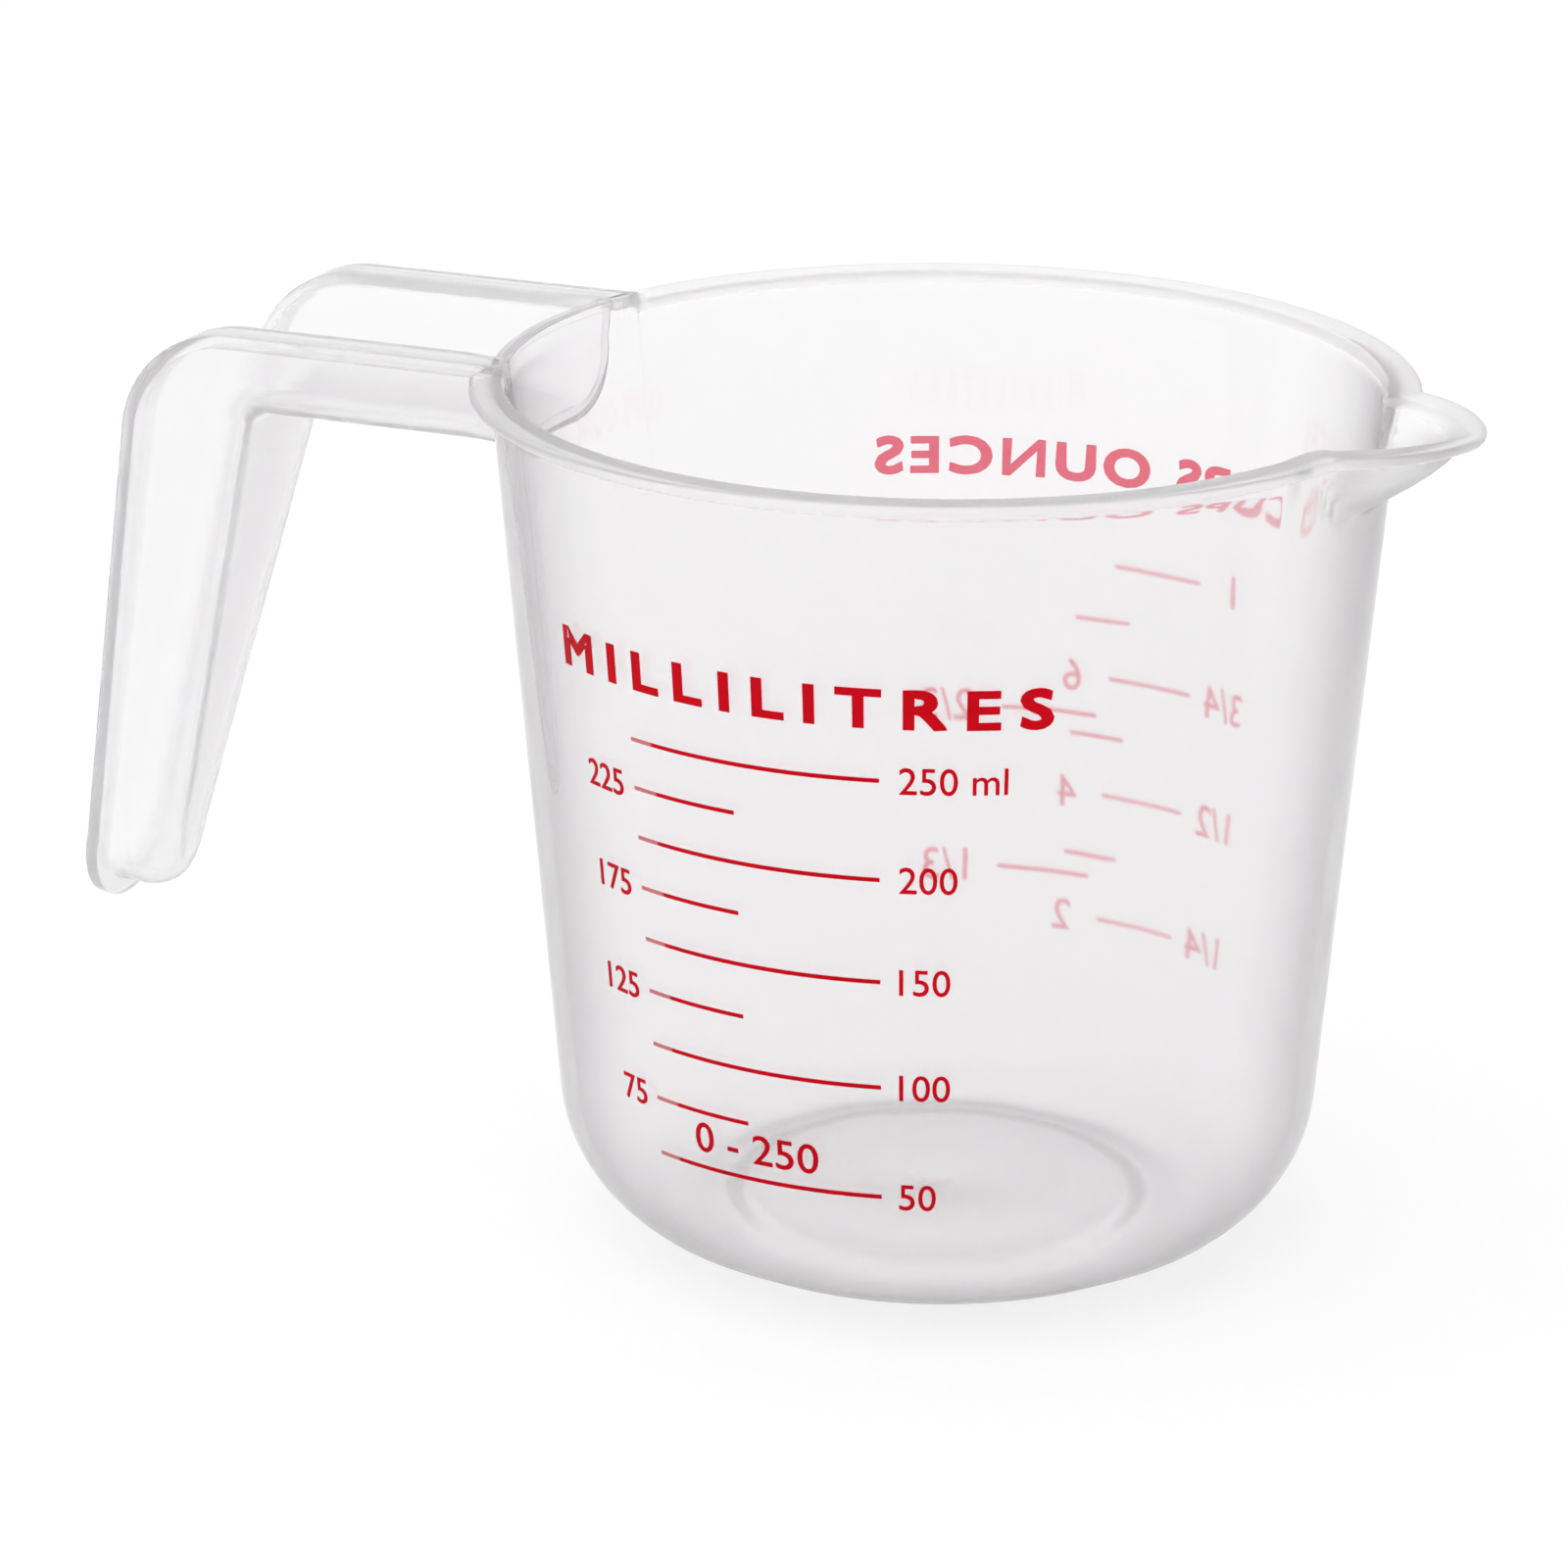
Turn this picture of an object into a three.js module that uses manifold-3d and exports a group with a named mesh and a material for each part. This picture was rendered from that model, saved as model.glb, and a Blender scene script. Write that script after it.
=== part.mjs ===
import * as THREE from 'three';
import { mergeVertices } from 'three/addons/utils/BufferGeometryUtils.js';
import Module from 'manifold-3d';

const wasm = await Module();
wasm.setup();

// A small translucent measuring cup: a tapered bowl with a lip and a spout, an open trough
// handle opposite the spout, and two printed scales. Sizes are millimetres, +Z is up, the
// spout points along +X and the handle along -X. Everything is built round the axis of the
// bowl; the last step moves the whole cup so that its box is centred on the origin.

// Bowl
const RIM_HEIGHT = 86.5;
const WALL_RADIUS_TOP = 44;
const WALL_RADIUS_BASE = 36.65;
const WALL = 1.3;
const CORNER_RADIUS = 15;
const FOOT_WIDTH = 2;
const RECESS_DEPTH = 1.6;
const RECESS_SLOPE = 0.8;
const FLOOR = 1.6;
const FLOOR_SLOPE = 1;

// Rim lip
const LIP_OVERHANG = 2.1;
const LIP_THICKNESS = 1.2;
const EDGE_ROUND = 0.35;

// Spout
const SPOUT_REACH = 9;
const SPOUT_HALF_WIDTH = 10.4;
const SPOUT_DEPTH = 7.8;
const SPOUT_INSET = 2.3;
const SPOUT_POINT = 1.65;
const SPOUT_BELLY = 1.6;
const SPOUT_LEDGE = 0.6;

// Handle
const HANDLE_RISE = 0.5;
const HANDLE_REACH = 79.9;
const HANDLE_LEAN = THREE.MathUtils.degToRad(11.7);
const BEND_RADIUS = 12;
const TIP_HEIGHT = 20.6;
const TIP_RADIUS = 9.4;
const FLANGE_HALF_WIDTH = 16.4;
const FLANGE_THICKNESS = 1.2;
const FLANGE_OVERHANG = 4.6;
const FLANGE_OVERHANG_TIP = 3;
const TROUGH_DEPTH = 10;
const TROUGH_DEPTH_TIP = 7.6;
const TROUGH_DRAFT = THREE.MathUtils.degToRad(13);
const TROUGH_CORNER = 3.6;
const ROOT_LENGTH = 6;
const ROOT_WIDENING = 1.4;
const ROOT_DROP = 1.6;
const ROOT_CORNER = 8.5;
const JOIN_GAP = 0.3;

// Printed scales: angles in degrees round the axis from +X, volumes in millilitres
const INK_WIDTH = 0.4;
const INK_THICKNESS = 0.12;
const INK_CLEARANCE = 0.05;
const INK_STEP = 2.4;
const ML_START = -112.8;
const ML_LONG_END = -76.5;
const ML_SHORT_END = -96.4;
const ML_LAST = 250;
const ML_LONG_STEP = 50;
const ML_SHORT_STEP = 25;
const CUP_VOLUME = 236.6;
const CUP_LINE = [71.2, 85.6];
const THIRD_LINE = [87.4, 102.6];
const OUNCE_LINE = [82.8, 91.7];

// Smoothness of the round surfaces
const TURN_STEPS = 80;
const CORNER_STEPS = 8;
const SPOUT_STEPS = 24;
const ROOT_STEPS = 4;
const BEND_STEPS = 8;
const TIP_STEPS = 6;
const TROUGH_STEPS = 4;

// How far a cutting body runs past the face that it cuts
const CUT_PAST = 5;

const wallLean = Math.atan((WALL_RADIUS_TOP - WALL_RADIUS_BASE) / RIM_HEIGHT);
const footRadius = WALL_RADIUS_BASE - CORNER_RADIUS * (1 - Math.sin(wallLean)) / Math.cos(wallLean);
const floorTop = RECESS_DEPTH + FLOOR;
const lipRadius = WALL_RADIUS_TOP + LIP_OVERHANG;
const flangeTop = RIM_HEIGHT + HANDLE_RISE;

// Outside of the leaning wall at a height, as if it ran on down to the rest plane
function wallRadius(height) {
  return WALL_RADIUS_BASE + height * Math.tan(wallLean);
}

// Points of the rounding between foot and wall, for a surface that lies inside the outer one
function cornerArc(inset) {
  const radius = CORNER_RADIUS - inset;
  const points = [];
  for (let step = 0; step <= CORNER_STEPS; step += 1) {
    const angle = -Math.PI / 2 + (Math.PI / 2 - wallLean) * step / CORNER_STEPS;
    points.push([footRadius + radius * Math.cos(angle), CORNER_RADIUS + radius * Math.sin(angle)]);
  }
  return points;
}

// Radius of the inner or outer side of the bowl at a height
function bowlRadius(height, inset) {
  const radius = CORNER_RADIUS - inset;
  const cornerTop = CORNER_RADIUS - radius * Math.sin(wallLean);
  if (height >= cornerTop) {
    return wallRadius(height) - inset / Math.cos(wallLean);
  }
  const below = CORNER_RADIUS - height;
  return footRadius + Math.sqrt(Math.max(radius * radius - below * below, 0));
}

// Height to which the bowl is filled by a volume in millilitres
function levelOf(volume) {
  const slice = 0.02;
  let height = floorTop;
  let filled = 0;
  while (filled < volume * 1000) {
    const radius = bowlRadius(height + slice / 2, WALL);
    filled += Math.PI * radius * radius * slice;
    height += slice;
  }
  return height;
}

// A mesh as a closed body with its faces outward
function toSolid(geometry) {
  geometry.deleteAttribute('normal');
  geometry.deleteAttribute('uv');
  const merged = mergeVertices(geometry, 1e-4);
  const spots = merged.getAttribute('position').array;
  const corners = merged.getIndex().array;
  const kept = [];
  let volume = 0;
  for (let at = 0; at < corners.length; at += 3) {
    const [a, b, c] = [corners[at], corners[at + 1], corners[at + 2]];
    if (a === b || b === c || c === a) {
      continue;
    }
    kept.push(a, b, c);
    const [pa, pb, pc] = [a, b, c].map((corner) => new THREE.Vector3().fromArray(spots, corner * 3));
    volume += pa.dot(pb.cross(pc));
  }
  const faces = volume < 0 ? kept.reverse() : kept;
  return new wasm.Manifold(new wasm.Mesh({
    numProp: 3,
    vertProperties: new Float32Array(spots),
    triVerts: new Uint32Array(faces),
  }));
}

function toGeometry(solid) {
  const mesh = solid.getMesh();
  const geometry = new THREE.BufferGeometry();
  geometry.setAttribute('position', new THREE.BufferAttribute(Float32Array.from(mesh.vertProperties), 3));
  geometry.setIndex(Array.from(mesh.triVerts));
  return geometry;
}

// A body turned round the bowl's axis from points of radius and height
function turned(points) {
  const profile = points.map(([radius, height]) => new THREE.Vector2(radius, height));
  const geometry = new THREE.LatheGeometry(profile, TURN_STEPS);
  geometry.rotateX(Math.PI / 2);
  return toSolid(geometry);
}

// A body through a row of convex rings that all have the same number of points
function lofted(rings) {
  const count = rings[0].length;
  const positions = rings.flat().flatMap((point) => [point.x, point.y, point.z]);
  const faces = [];
  for (let row = 0; row + 1 < rings.length; row += 1) {
    for (let column = 0; column < count; column += 1) {
      const next = (column + 1) % count;
      const [a, b] = [row * count + column, row * count + next];
      const [c, d] = [a + count, b + count];
      faces.push(a, b, d, a, d, c);
    }
  }
  const last = (rings.length - 1) * count;
  for (let column = 1; column + 1 < count; column += 1) {
    faces.push(0, column + 1, column);
    faces.push(last, last + column, last + column + 1);
  }
  const geometry = new THREE.BufferGeometry();
  geometry.setAttribute('position', new THREE.BufferAttribute(new Float32Array(positions), 3));
  geometry.setIndex(faces);
  return toSolid(geometry);
}

function block(low, high) {
  const geometry = new THREE.BoxGeometry(high[0] - low[0], high[1] - low[1], high[2] - low[2]);
  geometry.translate((low[0] + high[0]) / 2, (low[1] + high[1]) / 2, (low[2] + high[2]) / 2);
  return toSolid(geometry);
}

// Inset of a rounded plate edge at five depths through the plate
function edgeSteps(thickness) {
  return [
    [0, EDGE_ROUND],
    [thickness * 0.18, EDGE_ROUND * 0.25],
    [thickness * 0.5, 0],
    [thickness * 0.82, EDGE_ROUND * 0.25],
    [thickness, EDGE_ROUND],
  ];
}

// Bowl without its lip and spout: the filled outside and the room inside
const recessRadius = footRadius - FOOT_WIDTH;
const outside = turned([
  [0, RECESS_DEPTH],
  [recessRadius - RECESS_SLOPE, RECESS_DEPTH],
  [recessRadius, 0],
  ...cornerArc(0),
  [WALL_RADIUS_TOP, RIM_HEIGHT],
  [0, RIM_HEIGHT],
]);
const cavityTop = RIM_HEIGHT + CUT_PAST;
const cavity = turned([
  [0, floorTop],
  [footRadius - FLOOR_SLOPE, floorTop],
  ...cornerArc(WALL),
  [bowlRadius(cavityTop, WALL), cavityTop],
  [0, cavityTop],
]);

// Lip round the rim, left out where the handle's flange takes its place
const lipRing = turned([
  ...edgeSteps(LIP_THICKNESS).map(([depth, inset]) => [lipRadius - inset, RIM_HEIGHT - depth]),
  [WALL_RADIUS_TOP - WALL / 2, RIM_HEIGHT - LIP_THICKNESS],
  [WALL_RADIUS_TOP - WALL / 2, RIM_HEIGHT],
  [lipRadius - EDGE_ROUND, RIM_HEIGHT],
]);
const flangeRoom = FLANGE_HALF_WIDTH + JOIN_GAP;
const lip = lipRing.subtract(block(
  [-lipRadius - CUT_PAST, -flangeRoom, RIM_HEIGHT - LIP_THICKNESS - CUT_PAST],
  [0, flangeRoom, RIM_HEIGHT + CUT_PAST],
));

// Wall between the handle's flanges, which stands a little above the rim
const raisedWall = turned([
  [0, RIM_HEIGHT - LIP_THICKNESS],
  [wallRadius(RIM_HEIGHT - LIP_THICKNESS), RIM_HEIGHT - LIP_THICKNESS],
  [wallRadius(flangeTop), flangeTop],
  [0, flangeTop],
]).intersect(block(
  [-lipRadius, -FLANGE_HALF_WIDTH, 0],
  [0, FLANGE_HALF_WIDTH, flangeTop + CUT_PAST],
));

// Plan of the spout: a rounded point whose sides run back into the bowl
function spoutRing(reach, halfWidth, height, root) {
  const ring = [];
  const back = root - SPOUT_HALF_WIDTH / 2;
  ring.push(new THREE.Vector3(back, -halfWidth, height));
  for (let step = 0; step <= SPOUT_STEPS; step += 1) {
    const angle = -Math.PI / 2 + Math.PI * step / SPOUT_STEPS;
    const along = Math.abs(Math.cos(angle)) ** (2 / SPOUT_POINT);
    const across = Math.sign(angle) * Math.abs(Math.sin(angle)) ** (2 / SPOUT_POINT);
    ring.push(new THREE.Vector3(root + reach * along, halfWidth * across, height));
  }
  ring.push(new THREE.Vector3(back, halfWidth, height));
  return ring;
}

// Half the width of the spout at a share of its depth
function spoutWidth(halfWidth, part) {
  return halfWidth * Math.sqrt(1 - part * part);
}

// Spout that narrows and draws back into the wall with depth, slowly at first, so that it has a belly
const SPOUT_LEVELS = [0, 0.2, 0.4, 0.6, 0.75, 0.88, 0.97];
function spoutBody(reach, halfWidth, depth, above) {
  const rings = SPOUT_LEVELS.map((part) => {
    const height = RIM_HEIGHT - depth * part;
    const root = wallRadius(height) - SPOUT_INSET;
    return spoutRing(reach * (1 - part ** SPOUT_BELLY), spoutWidth(halfWidth, part), height, root);
  });
  if (above > 0) {
    rings.unshift(spoutRing(reach, halfWidth, RIM_HEIGHT + above, WALL_RADIUS_TOP - SPOUT_INSET));
  }
  return lofted(rings);
}

// Way through the wall, a little narrower than the spout so that the cut wall shows as a step
function wallGate(above) {
  const [low, high] = [WALL_RADIUS_TOP - SPOUT_HALF_WIDTH, WALL_RADIUS_TOP + SPOUT_REACH];
  return lofted([-above / SPOUT_DEPTH, ...SPOUT_LEVELS].map((part) => {
    const half = spoutWidth(SPOUT_HALF_WIDTH, Math.max(part, 0)) - SPOUT_LEDGE;
    const corners = [[low, -half], [high, -half], [high, half], [low, half]];
    return corners.map(([x, y]) => new THREE.Vector3(x, y, RIM_HEIGHT - SPOUT_DEPTH * part));
  }));
}

const spoutSlope = Math.atan(SPOUT_REACH / SPOUT_DEPTH);
const spoutOuterReach = SPOUT_REACH + WALL / Math.cos(spoutSlope);
const spoutOuterDepth = SPOUT_DEPTH * spoutOuterReach / SPOUT_REACH;
const spoutOuter = spoutBody(spoutOuterReach, SPOUT_HALF_WIDTH + WALL, spoutOuterDepth, 0);
const spoutRoom = spoutBody(SPOUT_REACH, SPOUT_HALF_WIDTH, SPOUT_DEPTH, CUT_PAST);
const spoutPocket = spoutRoom.subtract(outside);
const notch = spoutRoom.intersect(wallGate(CUT_PAST));
const spoutEdge = WALL + LIP_OVERHANG;
const spoutLip = lofted(edgeSteps(LIP_THICKNESS).map(([depth, inset]) => spoutRing(
  SPOUT_REACH + spoutEdge - inset,
  SPOUT_HALF_WIDTH + spoutEdge - inset,
  RIM_HEIGHT - depth,
  WALL_RADIUS_TOP - SPOUT_INSET,
)));

const bowl = outside
  .add(lip)
  .add(raisedWall)
  .add(spoutOuter)
  .add(spoutLip)
  .subtract(cavity)
  .subtract(spoutPocket)
  .subtract(notch);

// Line of the handle along the middle of its outer face, by distance from its start inside
// the bowl: straight out level, round the bend, then down the leaning leg
const turnAngle = Math.PI / 2 - HANDLE_LEAN;
const pathStart = -WALL_RADIUS_TOP + ROOT_LENGTH + CUT_PAST;
const bendStart = -HANDLE_REACH + BEND_RADIUS * Math.tan(turnAngle / 2);
const levelLength = pathStart - bendStart;
const bendLength = BEND_RADIUS * turnAngle;
const legTop = flangeTop - BEND_RADIUS * (1 - Math.cos(turnAngle));
const legStart = levelLength + bendLength;
const wallDistance = pathStart + WALL_RADIUS_TOP;
const pathEnd = legStart + (legTop - TIP_HEIGHT) / Math.cos(HANDLE_LEAN);
const tipStart = pathEnd - TIP_RADIUS;

function pathAt(distance) {
  const turn = THREE.MathUtils.clamp((distance - levelLength) / BEND_RADIUS, 0, turnAngle);
  const normal = [-Math.sin(turn), Math.cos(turn)];
  const level = Math.min(distance, levelLength);
  const leg = Math.max(distance - legStart, 0);
  const x = pathStart - level + BEND_RADIUS * normal[0] - leg * Math.cos(turn);
  const z = flangeTop - BEND_RADIUS + BEND_RADIUS * normal[1] - leg * Math.sin(turn);
  return { x, z, normal };
}

// A ring across the handle from points given as sideways and outward distances
function acrossHandle(distance, points) {
  const { x, z, normal } = pathAt(distance);
  return points.map(([side, out]) => new THREE.Vector3(x + normal[0] * out, side, z + normal[1] * out));
}

function downLeg(distance, atTop, atTip) {
  const part = THREE.MathUtils.clamp((distance - legStart) / (tipStart - legStart), 0, 1);
  return THREE.MathUtils.lerp(atTop, atTip, part);
}

// Share of the full width that is left in the round end, for an end of a given radius
function tipShare(distance, radius) {
  const past = Math.max(distance - tipStart, 0) / radius;
  return Math.sqrt(Math.max(1 - past * past, 0));
}

// How far the trough has opened out towards the bowl, along a quarter round: 1 at the wall
function rootShare(distance) {
  const near = THREE.MathUtils.clamp((ROOT_LENGTH + wallDistance - distance) / ROOT_LENGTH, 0, 1);
  return 1 - Math.sqrt(1 - near * near);
}

// Distances at which rings are set, for an end of a given radius
function handleStations(radius) {
  const stations = [0];
  for (let step = 0; step <= ROOT_STEPS; step += 1) {
    stations.push(wallDistance + ROOT_LENGTH * step / ROOT_STEPS);
  }
  for (let step = 0; step <= BEND_STEPS; step += 1) {
    stations.push(levelLength + bendLength * step / BEND_STEPS);
  }
  for (let step = 0; step < TIP_STEPS; step += 1) {
    stations.push(tipStart + radius * Math.sin(Math.PI / 2 * step / TIP_STEPS));
  }
  stations.push(tipStart + radius * 0.995);
  return stations;
}

// Flange: a plate along the whole handle, narrowing down the leg to a round end
const flange = lofted(handleStations(TIP_RADIUS).map((distance) => {
  const half = downLeg(distance, FLANGE_HALF_WIDTH, TIP_RADIUS) * tipShare(distance, TIP_RADIUS);
  const edge = edgeSteps(FLANGE_THICKNESS).map(([depth, inset]) => [half - inset, -depth]);
  const otherEdge = edge.map(([side, out]) => [-side, out]).reverse();
  return acrossHandle(distance, [...edge, ...otherEdge]);
}));

// Section of the trough: sides that lean in with depth and a rounded bottom
function troughSection(half, depth, corner, top) {
  const lean = Math.tan(TROUGH_DRAFT);
  const widest = (0.95 * half - depth * lean) / (1 / Math.cos(TROUGH_DRAFT) - lean);
  const radius = Math.min(corner, depth * 0.75, widest);
  const centre = half - (depth - radius) * lean - radius / Math.cos(TROUGH_DRAFT);
  const side = [[half + top * lean, top]];
  for (let step = 0; step <= TROUGH_STEPS; step += 1) {
    const angle = -TROUGH_DRAFT - (Math.PI / 2 - TROUGH_DRAFT) * step / TROUGH_STEPS;
    side.push([centre + radius * Math.cos(angle), radius - depth + radius * Math.sin(angle)]);
  }
  const otherSide = side.map(([across, out]) => [-across, out]).reverse();
  return [...side, ...otherSide];
}

// Trough as a filled body, the outside with no inset and the hollow with the wall as inset:
// it opens out into a rounder, deeper section where it runs into the bowl
function trough(inset, top) {
  const tipRadius = TIP_RADIUS - FLANGE_OVERHANG_TIP - inset;
  const halfAtTop = FLANGE_HALF_WIDTH - FLANGE_OVERHANG - inset;
  return lofted(handleStations(tipRadius).map((distance) => {
    const share = tipShare(distance, tipRadius);
    const opened = rootShare(distance);
    const half = downLeg(distance, halfAtTop, tipRadius) * share + ROOT_WIDENING * opened;
    const depthAlong = downLeg(distance, TROUGH_DEPTH, TROUGH_DEPTH_TIP) - inset;
    const depth = depthAlong * share + ROOT_DROP * opened;
    const corner = THREE.MathUtils.lerp(TROUGH_CORNER, ROOT_CORNER, opened) - inset;
    return acrossHandle(distance, troughSection(half, depth, corner, top));
  }));
}

const troughOuter = trough(0, -FLANGE_THICKNESS / 4);
const troughHollow = trough(WALL, CUT_PAST / 5);
const bowlRoom = turned([
  [0, 0],
  [wallRadius(0) + JOIN_GAP, 0],
  [wallRadius(cavityTop) + JOIN_GAP, cavityTop],
  [0, cavityTop],
]);
const handle = flange.add(troughOuter).subtract(troughHollow).subtract(bowlRoom);

// A printed line: a thin band that follows the wall at the level of a volume
function inkLine(volume, start, end) {
  const level = levelOf(volume);
  const count = Math.ceil(Math.abs(end - start) / INK_STEP);
  const low = bowlRadius(level - INK_WIDTH / 2, 0) + INK_CLEARANCE;
  const high = bowlRadius(level + INK_WIDTH / 2, 0) + INK_CLEARANCE;
  const section = [
    [low, level - INK_WIDTH / 2],
    [low + INK_THICKNESS, level - INK_WIDTH / 2],
    [high + INK_THICKNESS, level + INK_WIDTH / 2],
    [high, level + INK_WIDTH / 2],
  ];
  const rings = [];
  for (let step = 0; step <= count; step += 1) {
    const angle = THREE.MathUtils.degToRad(start + (end - start) * step / count);
    rings.push(section.map(([radius, height]) => new THREE.Vector3(
      radius * Math.cos(angle),
      radius * Math.sin(angle),
      height,
    )));
  }
  return lofted(rings);
}

const plastic = new THREE.MeshStandardMaterial({ color: 0xf2f2f0, roughness: 0.35 });
const redInk = new THREE.MeshStandardMaterial({ color: 0xc8101e, roughness: 0.5 });

const pieces = [
  ['bowl', bowl, plastic],
  ['handle', handle, plastic],
];
for (let volume = ML_SHORT_STEP * 2; volume <= ML_LAST; volume += ML_SHORT_STEP) {
  const end = volume % ML_LONG_STEP === 0 ? ML_LONG_END : ML_SHORT_END;
  pieces.push([`mark_${volume}_ml`, inkLine(volume, ML_START, end), redInk]);
}
const cupMarks = [
  ['mark_quarter_cup', 1 / 4, CUP_LINE],
  ['mark_third_cup', 1 / 3, THIRD_LINE],
  ['mark_three_ounce', 3 / 8, OUNCE_LINE],
  ['mark_half_cup', 1 / 2, CUP_LINE],
  ['mark_five_ounce', 5 / 8, OUNCE_LINE],
  ['mark_two_third_cup', 2 / 3, THIRD_LINE],
  ['mark_three_quarter_cup', 3 / 4, CUP_LINE],
  ['mark_seven_ounce', 7 / 8, OUNCE_LINE],
  ['mark_one_cup', 1, CUP_LINE],
];
for (const [name, share, [start, end]] of cupMarks) {
  pieces.push([name, inkLine(CUP_VOLUME * share, start, end), redInk]);
}

// The cup's own box is centred over the origin, with the foot on the rest plane
const meshes = pieces.map(([name, solid, material]) => {
  const mesh = new THREE.Mesh(toGeometry(solid), material);
  mesh.name = name;
  return mesh;
});
const cup = new THREE.Group();
cup.name = 'measuring_cup';
cup.add(...meshes);
const reach = new THREE.Box3().setFromObject(cup);
for (const mesh of meshes) {
  mesh.geometry.translate(-(reach.min.x + reach.max.x) / 2, 0, 0);
}

export default cup;
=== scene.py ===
import math

import bmesh
import bpy
from mathutils import Matrix, Quaternion, Vector


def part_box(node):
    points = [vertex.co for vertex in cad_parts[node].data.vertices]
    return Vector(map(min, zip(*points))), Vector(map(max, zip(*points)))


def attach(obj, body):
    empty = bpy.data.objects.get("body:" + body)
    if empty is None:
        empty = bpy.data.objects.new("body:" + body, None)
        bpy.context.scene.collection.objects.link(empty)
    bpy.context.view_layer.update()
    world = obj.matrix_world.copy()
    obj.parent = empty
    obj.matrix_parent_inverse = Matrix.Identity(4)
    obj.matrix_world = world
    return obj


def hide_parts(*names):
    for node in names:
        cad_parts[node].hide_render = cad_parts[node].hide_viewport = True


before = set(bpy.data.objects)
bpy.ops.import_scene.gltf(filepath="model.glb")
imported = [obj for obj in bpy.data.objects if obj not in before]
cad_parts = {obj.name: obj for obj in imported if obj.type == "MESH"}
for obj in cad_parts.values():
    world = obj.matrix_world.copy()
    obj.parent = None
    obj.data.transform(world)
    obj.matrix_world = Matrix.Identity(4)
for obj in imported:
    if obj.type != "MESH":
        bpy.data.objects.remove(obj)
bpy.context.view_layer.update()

# Bowl. A wall of milky polypropylene, moulded in one shot with its rim lip, its spout and its
# recessed base. The wall leans outwards so that it leaves the mould, and turns into the base in
# a wide round; the cup stands on a narrow foot ring.
MM = 0.001
RIM_HEIGHT = 86.5
WALL = 1.3
WALL_RADIUS_TOP = 44.0
WALL_RADIUS_BASE = 36.65
CORNER_RADIUS = 15.0
FOOT_WIDTH = 2.0
RECESS_DEPTH = 1.6
RECESS_SLOPE = 1.2
GATE_RADIUS = 1.1
GATE_SLOPE = 0.2
GATE_HEIGHT = 0.12
FLOOR_TOP = 3.2
STEP_OUTSIDE_FOOT = 2.2
STEP_INSIDE_FOOT = 5.6
LIP_OVERHANG = 2.1
LIP_THICKNESS = 1.2
PRINT_BED = 0.08
wall_lean = math.atan((WALL_RADIUS_TOP - WALL_RADIUS_BASE) / RIM_HEIGHT)


def wall_radius(height):
    return WALL_RADIUS_BASE + height * math.tan(wall_lean)


# Half a section through the bowl, from the axis underneath round the wall to the axis inside:
# each corner's distance from the axis and height, and the length and the steps of its round
bowl_mesh = bmesh.new()
inner_shift = WALL / math.cos(wall_lean)
corner_length = math.tan((math.pi / 2 - wall_lean) / 2)
foot_radius = WALL_RADIUS_BASE - CORNER_RADIUS * corner_length
lip_bottom = RIM_HEIGHT - LIP_THICKNESS
lip_radius = WALL_RADIUS_TOP + LIP_OVERHANG
section = [
    (0.0, RECESS_DEPTH - GATE_HEIGHT, 0.0, 0),
    (GATE_RADIUS, RECESS_DEPTH - GATE_HEIGHT, 0.05, 2),
    (GATE_RADIUS + GATE_SLOPE, RECESS_DEPTH, 0.05, 2),
    (foot_radius - FOOT_WIDTH - RECESS_SLOPE, RECESS_DEPTH, 0.8, 4),
    (foot_radius - FOOT_WIDTH, 0.0, 0.6, 4),
    (WALL_RADIUS_BASE + PRINT_BED, 0.0, CORNER_RADIUS * corner_length, 14),
    (wall_radius(lip_bottom) + PRINT_BED, lip_bottom, 0.7, 4),
    (lip_radius, lip_bottom, 0.5, 4),
    (lip_radius, RIM_HEIGHT, 0.55, 4),
    (WALL_RADIUS_TOP - inner_shift, RIM_HEIGHT, 0.35, 3),
    (wall_radius(WALL) - inner_shift, WALL, (CORNER_RADIUS - WALL) * corner_length, 14),
    (foot_radius + STEP_OUTSIDE_FOOT, WALL, 3.6, 8),
    (foot_radius - STEP_INSIDE_FOOT, FLOOR_TOP, 4.0, 8),
    (0.0, FLOOR_TOP, 0.0, 0),
]
chain = [
    bowl_mesh.verts.new((radius * MM, 0, height * MM)) for radius, height, _, _ in section
]
for first, second in zip(chain, chain[1:]):
    bowl_mesh.edges.new((first, second))
for corner, (_, _, length, steps) in zip(chain, section):
    if steps:
        bmesh.ops.bevel(
            bowl_mesh,
            geom=[corner],
            offset=length * MM,
            offset_type="OFFSET",
            segments=steps,
            profile=0.5,
            affect="VERTICES",
            material=-1,
        )

# The step from the corner up to the floor is smoothed, without the recess underneath it
STEP_BOTTOM = 1.25
STEP_TOP = 2.8
ABOVE_RECESS = 1.9
STEP_SMOOTHING = 20
WALL_ROWS = 56
floor_step = [
    vert
    for vert in bowl_mesh.verts
    if STEP_BOTTOM * MM < vert.co.z < STEP_TOP * MM
    and (vert.co.x > (foot_radius - FOOT_WIDTH) * MM or vert.co.z > ABOVE_RECESS * MM)
]
for _ in range(STEP_SMOOTHING):
    bmesh.ops.smooth_vert(
        bowl_mesh, verts=floor_step, factor=0.5, use_axis_x=True, use_axis_y=True, use_axis_z=True
    )
long_edges = [edge for edge in bowl_mesh.edges if edge.calc_length() > RIM_HEIGHT / 2 * MM]
bmesh.ops.subdivide_edges(bowl_mesh, edges=long_edges, cuts=WALL_ROWS)

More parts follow.
